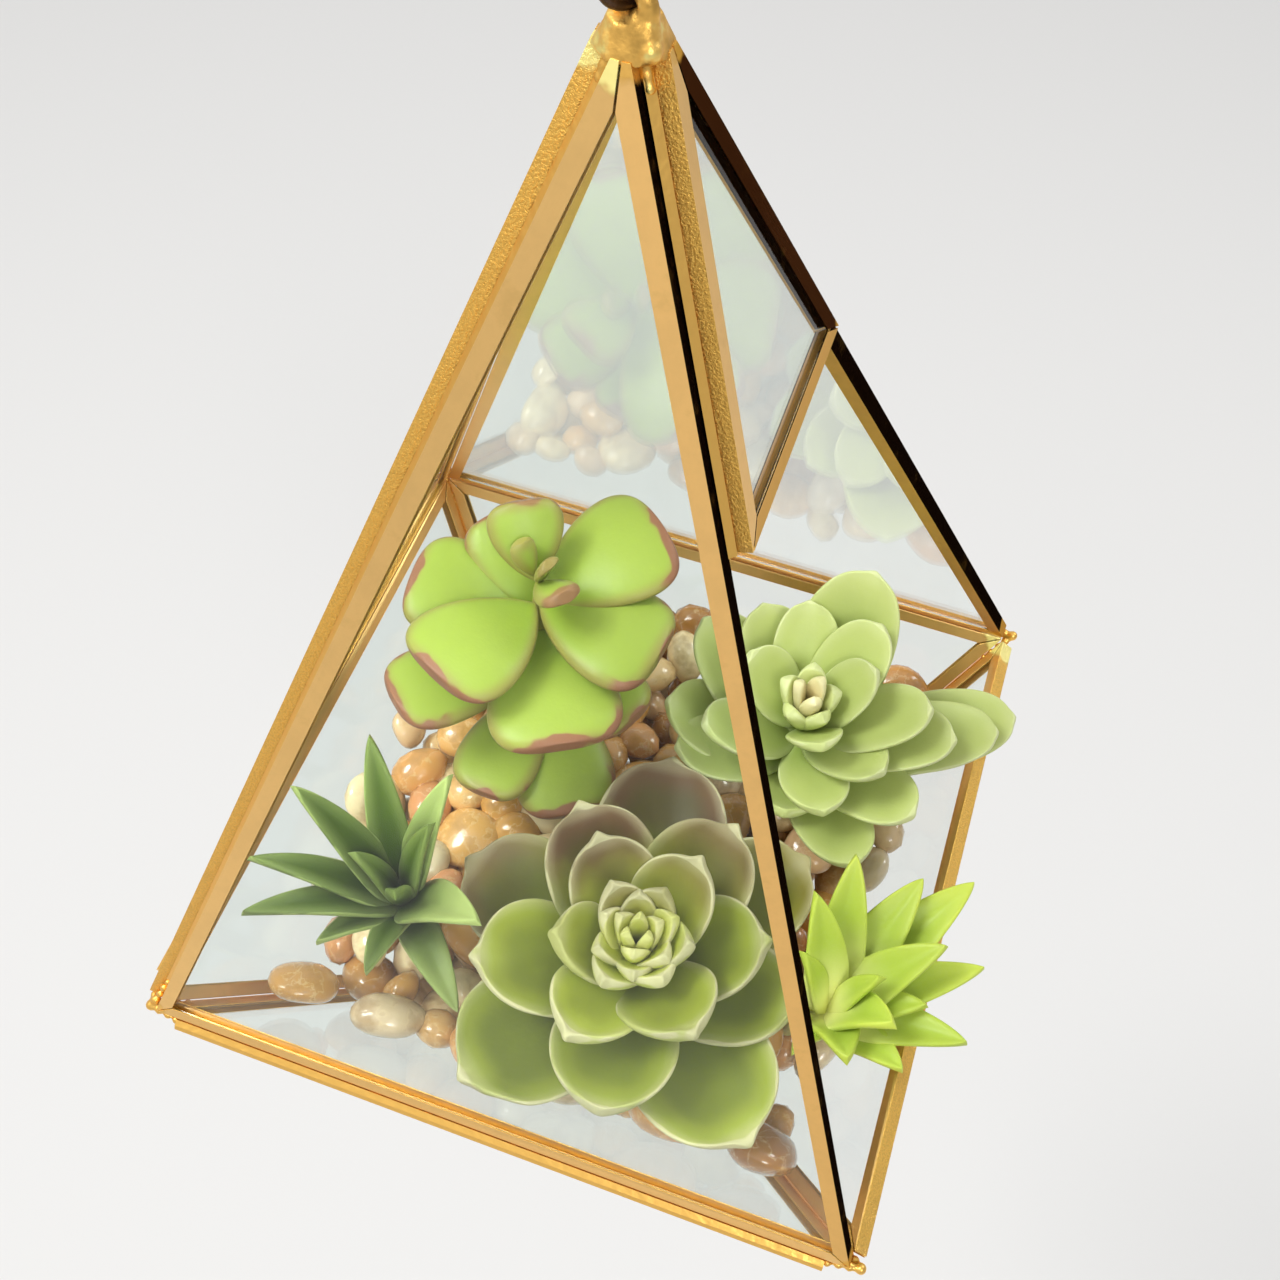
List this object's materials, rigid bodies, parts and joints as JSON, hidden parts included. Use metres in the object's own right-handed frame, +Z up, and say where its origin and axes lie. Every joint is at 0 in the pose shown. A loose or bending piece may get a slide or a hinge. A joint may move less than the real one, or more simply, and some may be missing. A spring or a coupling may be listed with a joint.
{
  "type": "hanging glass terrarium",
  "caption": "Faceted glass terrarium in brass came: a tall pyramid over a shorter one turned down, open at one side, hung by a ring, with succulents in river pebbles.",
  "frame": {"origin": "where a hook bears, on the upper inner side of the hanging ring", "axes": "+Z up, -Y the fully glazed front, +X the side that is open above the girdle"},
  "size_m": [0.1581, 0.152, 0.3088],
  "materials": {
    "brass_came": "antiqued brass channel, satin",
    "gold_solder": "gold-coloured solder, glossy and uneven",
    "clear_glass": "clear polished sheet glass",
    "dark_ring": "dark antiqued wire",
    "river_pebble": "polished river pebbles, mixed browns",
    "paddle_leaf": "artificial leaf, yellow-green with brown rims",
    "pale_rosette_leaf": "artificial leaf, pale green with a cream heart",
    "grey_rosette_leaf": "artificial leaf, grey-green with pale margins",
    "dark_spike_leaf": "artificial leaf, dark green",
    "lime_spike_leaf": "artificial leaf, lime green"
  },
  "bodies": {
    "ring": {"hanging_ring": "dark_ring"},
    "terrarium": {"came_lower_back_back_left_back_right": "brass_came", "came_lower_back_back_right_tip": "brass_came", "came_lower_back_tip_back_left": "brass_came", "came_lower_front_front_left_tip": "brass_came", "came_lower_front_front_right_front_left": "brass_came", "came_lower_front_tip_front_right": "brass_came", "came_lower_left_back_left_tip": "brass_came", "came_lower_left_front_left_back_left": "brass_came", "came_lower_left_tip_front_left": "brass_came", "came_lower_right_back_right_front_right": "brass_came", "came_lower_right_front_right_tip": "brass_came", "came_lower_right_tip_back_right": "brass_came", "came_upper_back_apex_back_right": "brass_came", "came_upper_back_back_left_apex": "brass_came", "came_upper_back_back_right_back_left": "brass_came", "came_upper_front_apex_front_left": "brass_came", "came_upper_front_front_left_front_right": "brass_came", "came_upper_front_front_right_apex": "brass_came", "came_upper_left_apex_back_left": "brass_came", "came_upper_left_back_left_front_left": "brass_came", "came_upper_left_front_left_apex": "brass_came", "came_upper_right_apex_door_front": "brass_came", "came_upper_right_door_back_apex": "brass_came", "came_upper_right_door_front_door_back": "brass_came", "eyelet": "gold_solder", "front_rosette": "grey_rosette_leaf", "glass_lower_back": "clear_glass", "glass_lower_front": "clear_glass", "glass_lower_left": "clear_glass", "glass_lower_right": "clear_glass", "glass_upper_back": "clear_glass", "glass_upper_front": "clear_glass", "glass_upper_left": "clear_glass", "glass_upper_right": "clear_glass", "left_spikes": "dark_spike_leaf", "paddle_plant": "paddle_leaf", "pebble_bed": "river_pebble", "right_rosette": "pale_rosette_leaf", "right_spikes": "lime_spike_leaf", "seam_girdle_back": "gold_solder", "seam_girdle_front": "gold_solder", "seam_girdle_left": "gold_solder", "seam_keel_back_left": "gold_solder", "seam_keel_back_right": "gold_solder", "seam_keel_front_left": "gold_solder", "seam_keel_front_right": "gold_solder", "seam_rib_back_left": "gold_solder", "seam_rib_back_right": "gold_solder", "seam_rib_front_left": "gold_solder", "seam_rib_front_right": "gold_solder", "solder_bead_back_left": "gold_solder", "solder_bead_back_right": "gold_solder", "solder_bead_front_left": "gold_solder", "solder_bead_front_right": "gold_solder", "solder_cap_tip": "gold_solder"}
  },
  "joints": [
    {"name": "ring_swing", "type": "hinge", "parent": "ring", "child": "terrarium", "pos_m": [0, 0, -0.0094], "axis": [-0.5, -0.866, 0], "range_deg": [-45, 45]}
  ]
}
